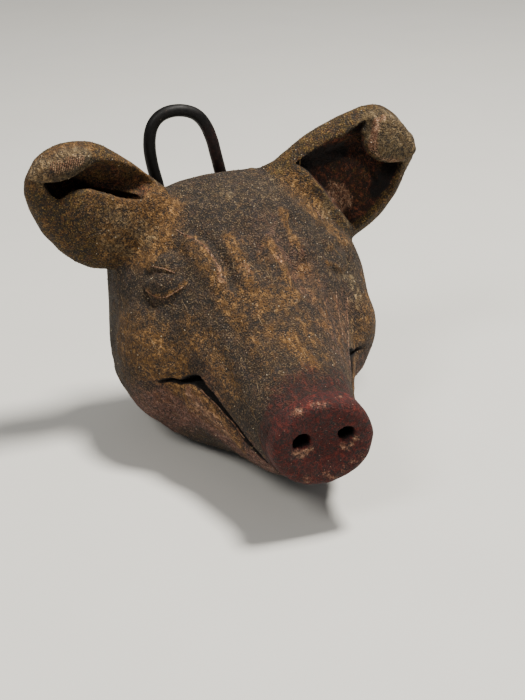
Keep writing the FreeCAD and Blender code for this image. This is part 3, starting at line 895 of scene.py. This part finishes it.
def clay_material(name, dark, light, bloom, warm, cool, relief=0.6, roughness=0.95,
                  red=(paint(40, 12, 9), paint(80, 30, 22)), red_break=0.7):
    """Sandy clay with all its brushed colours; the masks on the mesh say where each one lies."""
    material, tree, shader = new_material(name)
    place = own_place(tree)
    grain = grouped(tree, SANDY_GRAIN, Vector=place, Grain_Size_mm=CLAY_GRAIN_MM)
    height = grain.outputs["Height"]
    # the clay's own body
    body = mixed(tree, steps(tree, noise(tree, place, 170.0, 6.0, 0.7), 0.36, 0.66), dark, light)
    body = mixed(tree, times(tree, grain.outputs["Warm Drift"], 0.6), body, warm)
    body = mixed(tree, times(tree, grain.outputs["Cool Drift"], 0.55), body, cool)
    body = mixed(tree, steps(tree, height, 0.61, 0.82, 0.0, 0.95), body, bloom)
    # thin washes, then the pigments brushed over them
    for key, share, wash in (("ochre", 0.5, paint(82, 57, 26)), ("mauve", 0.35, paint(84, 56, 48))):
        body = mixed(tree, maths(tree, "MULTIPLY", mask(tree, key), share, clamp=True), body, wash)
    for key, pigment, pale, breaking, thickness in (
            ("mauve", paint(92, 60, 50), paint(142, 106, 92), 0.9, 0.8),
            ("ochre", paint(84, 57, 25), paint(156, 116, 68), 1.1, 0.82),
            # pale dust, with the painted highlights that share its mask
            ("dust_and_highlight", paint(84, 70, 48), paint(148, 128, 94), 1.1, 0.75),
            ("maroon", *red, red_break, 0.92),
            # pale chips, with the painted highlights that share their mask
            ("chip_and_highlight", paint(110, 74, 54), paint(186, 148, 118), 1.0, 0.85)):
        body = grouped(tree, DRY_BRUSH, Vector=place, Under=body, Pigment=pigment, Pigment_Light=pale,
                       Amount=mask(tree, key), Grain_Height=height, Break_Up=breaking,
                       Thickness=thickness).outputs["Color"]
    # dark between the grains, pale single grains, and painted shade and shadow in the hollows, narrow gaps,
    # ear cavities and mouth slit
    body = mixed(tree, times(tree, steps(tree, height, 0.61, 0.48), 0.88), body, paint(10, 7, 5))
    body = mixed(tree, times(tree, grain.outputs["Pale Grains"], 0.6), body, paint(156, 144, 126))
    for key, low, high, share, shade_colour in (
            ("hollow", 0.40, 0.98, 0.8, HOLLOW_SHADE),
            ("deep", 0.35, 0.9, 0.9, SHADOW_BLACK),
            ("painted_shadow", 0.1, 0.9, 0.93, SHADOW_BLACK)):
        body = mixed(tree, steps(tree, mask(tree, key), low, high, 0.0, share), body, shade_colour)
    feed(tree, body, shader.inputs["Base Color"])
    feed(tree, steps(tree, grain.outputs["Mottle"], 0.3, 0.7, roughness - 0.2, roughness + 0.03),
         shader.inputs["Roughness"])
    feed(tree, CLAY_SHEEN, shader.inputs["Specular IOR Level"])
    roughen(tree, shader, 1.0, relief * MM, height)
    return material


clay_dark = clay_material(
    "umber_clay", dark=paint(32, 24, 15), light=paint(50, 39, 26), bloom=paint(106, 89, 65),
    warm=paint(66, 42, 25), cool=paint(56, 46, 44))
clay_ear = clay_material(
    "olive_clay", dark=paint(42, 30, 12), light=paint(68, 51, 21), bloom=paint(128, 102, 54),
    warm=paint(94, 54, 23), cool=paint(54, 50, 26), relief=0.7, red=(paint(38, 14, 8), paint(116, 62, 40)),
    red_break=1.3)
clay_snout = clay_material(
    "maroon_clay", dark=paint(46, 10, 8), light=paint(62, 18, 13), bloom=paint(106, 48, 38),
    warm=paint(72, 26, 15), cool=paint(52, 22, 23), relief=0.4, roughness=0.9,
    red=(paint(52, 11, 8), paint(92, 30, 22)))

# ---------------------------------------------------------------- pieces
MATERIAL_OF = {"snout_disc": (clay_snout, "clay_maroon"), "left_ear": (clay_ear, "clay_ochre"),
               "right_ear": (clay_ear, "clay_ochre")}
owner = owners(points, quads)
for index, node in enumerate(CLAY_NODES):
    material, slot = MATERIAL_OF.get(node, (clay_dark, "clay_dark"))
    piece = clay_piece("sculpted_" + node, quads[owner == index], material)
    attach(piece, ROOT)
    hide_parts(node)


def eye_material():
    """Dark glaze with a grey-lilac cloud in it."""
    material, tree, shader = new_material("eye_bead_glaze")
    cloud = noise(tree, own_place(tree), 1400.0, 3.0)
    feed(tree, mixed(tree, steps(tree, cloud, 0.45, 0.7), paint(14, 12, 14), paint(74, 70, 80)),
         shader.inputs["Base Color"])
    feed(tree, steps(tree, cloud, 0.3, 0.7, 0.3, 0.6), shader.inputs["Roughness"])
    return material


bead = eye_material()
for side_name in ("left", "right"):
    low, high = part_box(side_name + "_eyeball")
    middle, size = (low + high) / 2, (high - low).x / 2
    bpy.ops.mesh.primitive_ico_sphere_add(subdivisions=4, radius=size, location=(0, 0, 0))
    piece = bpy.context.object
    piece.name = piece.data.name = side_name + "_eye_bead"
    piece.data.transform(Matrix.Translation(middle))
    piece.data.polygons.foreach_set("use_smooth", [True] * len(piece.data.polygons))
    piece.data.materials.append(bead)
    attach(piece, ROOT)
    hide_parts(side_name + "_eyeball")


# ---------------------------------------------------------------- bent wire loop
WIRE_RADIUS = 1.2
WIRE_SHEEN = 0.22
WIRE_Y = -2.6
WIRE_LINE = [                                # x, z from one buried end to the other
    (-15.0, 9.6), (-12.6, 9.6), (-11.6, 11.6), (-11.9, 18.0), (-12.6, 22.8), (-13.6, 27.0), (-14.1, 31.0),
    (-13.6, 34.6), (-11.8, 36.9), (-8.8, 37.7), (-5.2, 37.0), (-3.0, 34.9), (-1.6, 31.6), (-0.8, 28.0),
    (0.2, 23.6), (1.3, 17.6), (2.2, 11.8), (3.2, 9.6), (5.9, 9.6)]


def wire_material():
    """Black wire, rubbed bare in places and smeared with maroon where the mask says so."""
    material, tree, shader = new_material("black_wire")
    place = own_place(tree)
    wear = noise(tree, place, 900.0, 6.0, 0.7)
    scratches = noise(tree, place, 2600.0, 3.0, 0.6)
    bare = times(tree, steps(tree, wear, 0.66, 0.72), steps(tree, scratches, 0.5, 0.62))
    body = mixed(tree, steps(tree, wear, 0.5, 0.72, 0.0, 0.6), paint(5, 4, 4), paint(22, 16, 12))
    body = mixed(tree, bare, body, paint(110, 100, 92))
    smear = grouped(tree, DRY_BRUSH, Vector=place, Under=body, Pigment=paint(26, 12, 10),
                    Pigment_Light=paint(48, 26, 22), Amount=mask(tree, "maroon"),
                    Grain_Height=plus(tree, scratches, 0.2), Break_Up=0.7)
    feed(tree, smear.outputs["Color"], shader.inputs["Base Color"])
    feed(tree, steps(tree, wear, 0.3, 0.75, 0.45, 0.75), shader.inputs["Roughness"])
    feed(tree, WIRE_SHEEN, shader.inputs["Specular IOR Level"])
    feed(tree, bare, shader.inputs["Metallic"])
    roughen(tree, shader, 0.7, 0.06 * MM, wear)
    return material


def new_growth(name, inputs):
    """A Geometry Nodes tree with the inputs that it works from, its given values and its end node."""
    tree, inside, outside = new_tree(name, "GeometryNodeTree", inputs, [("Grown", "NodeSocketGeometry")])
    return tree, inside.outputs, outside


def swept(tree, curve, radius, sides, **taper):
    """A closed tube along a curve."""
    ring = add(tree, "GeometryNodeCurvePrimitiveCircle", Resolution=sides, Radius=radius)
    return add(tree, "GeometryNodeCurveToMesh", Curve=curve, Profile_Curve=ring.outputs[0], Fill_Caps=True,
               **taper).outputs[0]


def smoothed(tree, shape):
    return add(tree, "GeometryNodeSetShadeSmooth", Geometry=shape).outputs[0]


def end_growth(tree, given, outside, shape):
    """Makes a tree's instances real and gives them its finish."""
    real = add(tree, "GeometryNodeRealizeInstances", Geometry=shape)
    done = add(tree, "GeometryNodeSetMaterial", Geometry=real.outputs[0], Material=given["Finish"])
    feed(tree, done.outputs[0], outside.inputs[0])
    return tree


def bent_wire_tree():
    """A round wire along a path, with the slight unevenness of its coat."""
    tree, given, outside = new_growth("bent_wire", [
        ("Path", "NodeSocketGeometry", None), ("Wire Radius", "NodeSocketFloat", WIRE_RADIUS * MM),
        ("Ring Spacing", "NodeSocketFloat", 0.3 * MM), ("Sides", "NodeSocketInt", 24),
        ("Unevenness", "NodeSocketFloat", 0.05 * MM), ("Finish", "NodeSocketMaterial", None)])
    spaced = add(tree, "GeometryNodeResampleCurve", {"mode": "LENGTH"}, Curve=given["Path"],
                 Length=given["Ring Spacing"])
    bumps = add(tree, "ShaderNodeTexNoise", Scale=420.0, Detail=3.0).outputs[0]
    amount = times(tree, about(tree, bumps, 0.5, given["Unevenness"]), 2.0)
    shift = add(tree, "ShaderNodeVectorMath", {"operation": "SCALE"}, Scale=amount,
                i0=tree.nodes.new("GeometryNodeInputNormal").outputs[0])
    moved = add(tree, "GeometryNodeSetPosition", Offset=shift.outputs[0],
                Geometry=swept(tree, spaced.outputs[0], given["Wire Radius"], given["Sides"]))
    return end_growth(tree, given, outside, smoothed(tree, moved.outputs[0]))


def set_input(modifier, label, value):
    """Sets a modifier's input by its socket's identifier."""
    for item in modifier.node_group.interface.items_tree:
        if item.item_type == "SOCKET" and item.in_out == "INPUT" and item.name == label:
            modifier[item.identifier] = value


def grown(source, tree, inputs, name):
    """A plain mesh object of what a Geometry Nodes tree makes from source."""
    modifier = source.modifiers.new("grow", "NODES")
    modifier.node_group = tree
    for label, value in inputs.items():
        set_input(modifier, label, value)
    bpy.context.view_layer.update()
    made = source.evaluated_get(bpy.context.evaluated_depsgraph_get())
    mesh = bpy.data.meshes.new_from_object(made)
    mesh.name = name
    source.modifiers.remove(modifier)
    return in_scene(name, mesh)


route = bpy.data.curves.new("wire_route", "CURVE")
route.dimensions = "3D"
run = route.splines.new("NURBS")
run.points.add(len(WIRE_LINE) - 1)
for point, (x, z) in zip(run.points, WIRE_LINE):
    point.co = (x * MM, WIRE_Y * MM, z * MM, 1.0)
run.order_u = 3
run.use_endpoint_u = True
run.resolution_u = 12
route_object = in_scene("wire_route", route)
BENT_WIRE = bent_wire_tree()
wire = grown(route_object, BENT_WIRE, {"Finish": wire_material()}, "bent_wire_loop")
bpy.data.objects.remove(route_object)
wire_points = np.empty(len(wire.data.vertices) * 3)
wire.data.vertices.foreach_get("co", wire_points)
SMEAR_LINE = [(-0.4, WIRE_Y, 24.0), (-1.2, WIRE_Y, 29.0), (-2.0, WIRE_Y, 33.0)]
give(wire.data, "maroon", near_path(wire_points.reshape(-1, 3) / MM, SMEAR_LINE, 1.0, 1.6) * 0.8)
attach(wire, ROOT)
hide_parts("wire_loop")


# ---------------------------------------------------------------- thin raised edges painted pale: pale pigment round the lids, painted highlights along the brows, the upper lip and the muzzle's folds
EDGE_LINES = [
    [(-13.4, -16.8, 19.4), (-12.2, -18.4, 19.0), (-10.5, -20.9, 18.5), (-9.2, -23.3, 17.5),
     (-8.3, -25.7, 15.9), (-7.8, -27.6, 14.3)],
    [(-19.2, -17.8, 12.7), (-18.2, -18.8, 13.2), (-16.8, -20.6, 13.4), (-15.2, -22.8, 12.9)],
    [(-19.9, -19.4, 9.0), (-18.6, -21.6, 8.5), (-17.2, -23.4, 8.9), (-15.8, -24.5, 10.1),
     (-14.2, -25.2, 11.2)],
    [(-15.8, -36.4, -4.0), (-14.4, -39.4, -5.6), (-12.6, -43.6, -7.8), (-11.2, -47.4, -9.8)],
    [(15.0, -14.2, 18.6), (15.9, -14.8, 17.6), (16.8, -15.2, 16.4)],
    [(14.8, -28.4, 7.2), (14.2, -32.0, 4.8), (13.4, -36.4, 1.8)],
    [(17.8, -27.6, 5.2), (17.0, -31.0, 2.4), (15.6, -35.6, -1.4)],
]


def laid_lines(lines, radius, masks_on, name):
    """Thin uneven rolls of clay laid along the skin."""
    curve = bpy.data.curves.new(name, "CURVE")
    curve.dimensions = "3D"
    for line in lines:
        path = onto_skin(clay, smooth_path(line, 0.4)) * MM
        run = curve.splines.new("POLY")
        run.points.add(len(path) - 1)
        for point, (x, y, z) in zip(run.points, path):
            point.co = (x, y, z, 1.0)
    holder = in_scene(name, curve)
    piece = grown(holder, BENT_WIRE, {"Wire Radius": radius * MM, "Sides": 6, "Unevenness": 0.12 * MM,
                                      "Finish": clay_dark}, name)
    bpy.data.objects.remove(holder)
    for key, amount in masks_on.items():
        give(piece.data, key, np.full(len(piece.data.vertices), amount))
    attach(piece, ROOT)


laid_lines(EDGE_LINES, 0.12, {"chip_and_highlight": 1.2, "dust_and_highlight": 1.2}, "pale_edges")


# ---------------------------------------------------------------- sand grains, brush hairs and finger ridges
def sand_material():
    """Loose sand, each grain of its own tone, with a few pale ones."""
    material, tree, shader = new_material("loose_sand")
    tone = mask(tree, "tone")
    body = mixed(tree, steps(tree, tone, 0.0, 0.85), paint(24, 17, 11), paint(74, 60, 41))
    body = mixed(tree, steps(tree, tone, 0.94, 0.99), body, paint(164, 148, 122))
    feed(tree, body, shader.inputs["Base Color"])
    feed(tree, steps(tree, tone, 0.0, 1.0, 0.9, 0.55), shader.inputs["Roughness"])
    return material


def dragged_pigment_material():
    """Dried streaks that single hairs of the brush left, each of its own tint."""
    material, tree, shader = new_material("dragged_pigment")
    tone = mask(tree, "tone")
    worn = noise(tree, own_place(tree), 3000.0, 2.0)
    body = mixed(tree, steps(tree, tone, 0.22, 0.32), paint(24, 16, 10), paint(74, 58, 50))
    body = mixed(tree, steps(tree, tone, 0.52, 0.60), body, paint(104, 76, 36))
    body = mixed(tree, steps(tree, tone, 0.86, 0.93), body, paint(134, 112, 82))
    body = mixed(tree, steps(tree, worn, 0.45, 0.6, 0.0, 0.6), body, paint(36, 26, 17))
    feed(tree, body, shader.inputs["Base Color"])
    feed(tree, steps(tree, worn, 0.3, 0.7, 0.8, 0.98), shader.inputs["Roughness"])
    return material


def random_between(tree, low, high, seed, kind="FLOAT"):
    """A random value for each point or instance; kind is FLOAT or FLOAT_VECTOR."""
    first, result = (0, 0) if kind == "FLOAT_VECTOR" else (2, 1)
    node = add(tree, "FunctionNodeRandomValue", {"data_type": kind}, Seed=seed)
    feed(tree, low, node.inputs[first])
    feed(tree, high, node.inputs[first + 1])
    return node.outputs[result]


def strewn(tree, given, density, copy, widest_turn, sizes):
    """Copies strewn over the sandy skin, each with its own turn, size and tone."""
    here = add(tree, "GeometryNodeInputNamedAttribute", {"data_type": "FLOAT"}, Name="sandy").outputs[0]
    spots = add(tree, "GeometryNodeDistributePointsOnFaces", {"distribute_method": "RANDOM"},
                Mesh=given["Skin"], Density=times(tree, here, given[density]), Seed=given["Seed"])
    placed = add(tree, "GeometryNodeInstanceOnPoints", Points=spots.outputs["Points"], Instance=copy,
                 Rotation=random_between(tree, *widest_turn, given["Seed"], "FLOAT_VECTOR"),
                 Scale=random_between(tree, given[sizes[0]], given[sizes[1]], given["Seed"]))
    return add(tree, "GeometryNodeStoreNamedAttribute", {"data_type": "FLOAT", "domain": "INSTANCE"},
               Geometry=placed.outputs[0], Name="tone",
               Value=random_between(tree, 0.0, 1.0, given["Seed"])).outputs[0]


def stroke_of(tree, end, count):
    """A straight stroke to an end point, with points enough to follow the skin."""
    line = add(tree, "GeometryNodeCurvePrimitiveLine", End=end)
    return add(tree, "GeometryNodeResampleCurve", {"mode": "COUNT"}, Curve=line.outputs[0],
               Count=count).outputs[0]


def laid_strokes(tree, given, strokes, radius, sides, swelling):
    """Strokes laid onto the skin as thin threads that swell towards their middle."""
    real = add(tree, "GeometryNodeRealizeInstances", Geometry=strokes)
    nearest = add(tree, "GeometryNodeProximity", {"target_element": "FACES"}, Geometry=given["Skin"])
    laid = add(tree, "GeometryNodeSetPosition", Geometry=real.outputs[0], Position=nearest.outputs["Position"])
    along = tree.nodes.new("GeometryNodeSplineParameter").outputs["Factor"]
    swell = maths(tree, "SINE", times(tree, along, math.pi))
    taper = plus(tree, times(tree, swell, swelling), 1 - swelling)
    return smoothed(tree, swept(tree, laid.outputs[0], radius, sides, Scale=taper))


def scattered_sand_tree():
    """Small faceted grains of sand over the skin."""
    tree, given, outside = new_growth("scattered_sand", [
        ("Skin", "NodeSocketGeometry", None), ("Grains Per Square Metre", "NodeSocketFloat", 1.15e6),
        ("Grain Radius", "NodeSocketFloat", 0.12 * MM), ("Smallest", "NodeSocketFloat", 0.5),
        ("Largest", "NodeSocketFloat", 1.3), ("Seed", "NodeSocketInt", 7),
        ("Finish", "NodeSocketMaterial", None)])
    grain = add(tree, "GeometryNodeMeshUVSphere", Segments=4, Rings=2, Radius=given["Grain Radius"]).outputs[0]
    sand = strewn(tree, given, "Grains Per Square Metre", grain, ((0.0, 0.0, 0.0), (6.283, 6.283, 6.283)),
                  ("Smallest", "Largest"))
    return end_growth(tree, given, outside, sand)


def brush_hairs_tree():
    """Thin streaks dragged over the skin by single hairs of the brush."""
    tree, given, outside = new_growth("brush_hairs", [
        ("Skin", "NodeSocketGeometry", None), ("Hairs Per Square Metre", "NodeSocketFloat", 2.2e5),
        ("Hair Radius", "NodeSocketFloat", 0.05 * MM), ("Shortest", "NodeSocketFloat", 0.6),
        ("Longest", "NodeSocketFloat", 2.5), ("Drag", "NodeSocketVector", (0.0, 0.0, 0.0)),
        ("Seed", "NodeSocketInt", 23), ("Finish", "NodeSocketMaterial", None)])
    hairs = strewn(tree, given, "Hairs Per Square Metre", stroke_of(tree, given["Drag"], 7),
                   ((-0.5, -0.5, -0.7), (0.5, 0.5, 0.7)), ("Shortest", "Longest"))
    return end_growth(tree, given, outside, laid_strokes(tree, given, hairs, given["Hair Radius"], 3, 0.7))


def finger_ridges_tree():
    """A row of short parallel ridges, as a fingertip leaves them."""
    tree, given, outside = new_growth("finger_ridges", [
        ("Skin", "NodeSocketGeometry", None), ("Count", "NodeSocketInt", 13),
        ("First", "NodeSocketVector", (0, 0, 0)), ("Step", "NodeSocketVector", (0, 0, 0)),
        ("Length", "NodeSocketVector", (0, 0, 0)),
        ("Ridge Radius", "NodeSocketFloat", 0.15 * MM), ("Finish", "NodeSocketMaterial", None)])
    starts = add(tree, "GeometryNodeMeshLine", {"mode": "OFFSET"}, Count=given["Count"],
                 Start_Location=given["First"], Offset=given["Step"])
    ridges = add(tree, "GeometryNodeInstanceOnPoints", Points=starts.outputs[0],
                 Instance=stroke_of(tree, given["Length"], 12)).outputs[0]
    return end_growth(tree, given, outside, laid_strokes(tree, given, ridges, given["Ridge Radius"], 6, 0.8))


skin_mesh = bpy.data.meshes.new("whole_skin")
skin_mesh.from_pydata((points * MM).tolist(), [], quads.tolist())
# no sand on the flat back and underside, little in the maroon paint and the deep hollows
sandy = np.clip(0.55 + 0.6 * sample(lumps(5.0, 41), points), 0.1, 1.0)
sandy[(points[:, 1] > -0.4) | (points[:, 2] < FLOOR_Z + 0.4)] = 0.0
sandy *= 1 - np.clip(1.1 * masks["maroon"], 0, 1)
sandy *= 1 - 0.9 * masks["deep"]
give(skin_mesh, "sandy", sandy)
skin_object = in_scene("whole_skin", skin_mesh)
sand = grown(skin_object, scattered_sand_tree(), {"Finish": sand_material()}, "sand_grains")
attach(sand, ROOT)
hairs = grown(skin_object, brush_hairs_tree(), {"Drag": Vector((0.1, -0.82, -0.56)) * MM,
                                                "Finish": dragged_pigment_material()}, "brush_streaks")
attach(hairs, ROOT)
ridges = grown(skin_object, finger_ridges_tree(), {
    "Count": 15, "First": Vector((-35.6, -14.6, 30.8)) * MM, "Step": Vector((0.46, 0.0, 0.12)) * MM,
    "Length": Vector((0.9, 1.0, 3.0)) * MM, "Ridge Radius": 0.14 * MM, "Finish": clay_ear}, "finger_ridges")
for key, amount in (("dust_and_highlight", 1.6), ("chip_and_highlight", 0.8)):
    give(ridges.data, key, np.full(len(ridges.data.vertices), amount))
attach(ridges, ROOT)
bpy.data.objects.remove(skin_object)


# ---------------------------------------------------------------- floor, light and camera
FLOOR_SIZE = 6.0


def plain_material(name, colour, roughness):
    """A plain finish with a faint cloud in it."""
    material, tree, shader = new_material(name)
    darker = tuple(c * 0.94 for c in colour[:3]) + (1.0,)
    cloud = noise(tree, own_place(tree), 40.0, 6.0)
    feed(tree, mixed(tree, cloud, darker, colour), shader.inputs["Base Color"])
    feed(tree, roughness, shader.inputs["Roughness"])
    return material


bpy.ops.mesh.primitive_plane_add(size=FLOOR_SIZE, location=(0, 0, FLOOR_Z * MM))
floor = bpy.context.object
floor.name = "floor"
floor.data.materials.append(plain_material("pale_floor", paint(204, 203, 198), 0.8))

MIDDLE = Vector((0.0, -0.025, 0.0))


def soft_light(name, place, size, power, colour):
    """A round lamp turned towards the middle of the head."""
    lamp = bpy.data.lights.new(name, "AREA")
    lamp.shape = "DISK"
    lamp.size = size
    lamp.energy = power
    lamp.color = colour
    holder = in_scene(name, lamp)
    holder.location = place
    holder.rotation_mode = "QUATERNION"
    holder.rotation_quaternion = (MIDDLE - Vector(place)).to_track_quat("-Z", "Y")


soft_light("ceiling_light", (0.17, -0.06, 0.56), 0.13, 8.1, (1.0, 0.96, 0.89))
soft_light("side_light", (-0.34, -0.24, 0.44), 0.20, 1.9, (1.0, 0.96, 0.90))
world = bpy.data.worlds.new("soft_room")
bpy.context.scene.world = world
world.use_nodes = True
room = world.node_tree.nodes["Background"].inputs
room["Color"].default_value = (0.95, 0.96, 1.0, 1.0)
room["Strength"].default_value = 0.21

YAW, RISE, ROLL = (math.radians(a) for a in (18.5, 26.5, -0.8))
CAMERA_TARGET = Vector((0, -25, 0))
CAMERA_AWAY, CAMERA_RIGHT, CAMERA_UP = 248.0, 0.8, -4.0      # mm from the target, and across the view
LENS = 66.9


def place_camera():
    """Looks down at the head from its right, a little rolled."""
    cy, sy, cr, sr = math.cos(YAW), math.sin(YAW), math.cos(RISE), math.sin(RISE)
    right = Vector((cy, -sy, 0))
    up = Vector((sy * sr, cy * sr, cr))
    back = Vector((-sy * cr, -cy * cr, sr))
    rolled_right = right * math.cos(ROLL) + up * math.sin(ROLL)
    rolled_up = up * math.cos(ROLL) - right * math.sin(ROLL)
    data = bpy.data.cameras.new("camera")
    data.sensor_width = 36.0
    data.lens = LENS
    data.clip_start, data.clip_end = 0.01, 10.0
    camera = in_scene("camera", data)
    spot = CAMERA_TARGET + back * CAMERA_AWAY + rolled_right * CAMERA_RIGHT + rolled_up * CAMERA_UP
    turn = Matrix((rolled_right, rolled_up, back)).transposed().to_4x4()
    camera.matrix_world = Matrix.Translation(spot * MM) @ turn
    bpy.context.scene.camera = camera


place_camera()
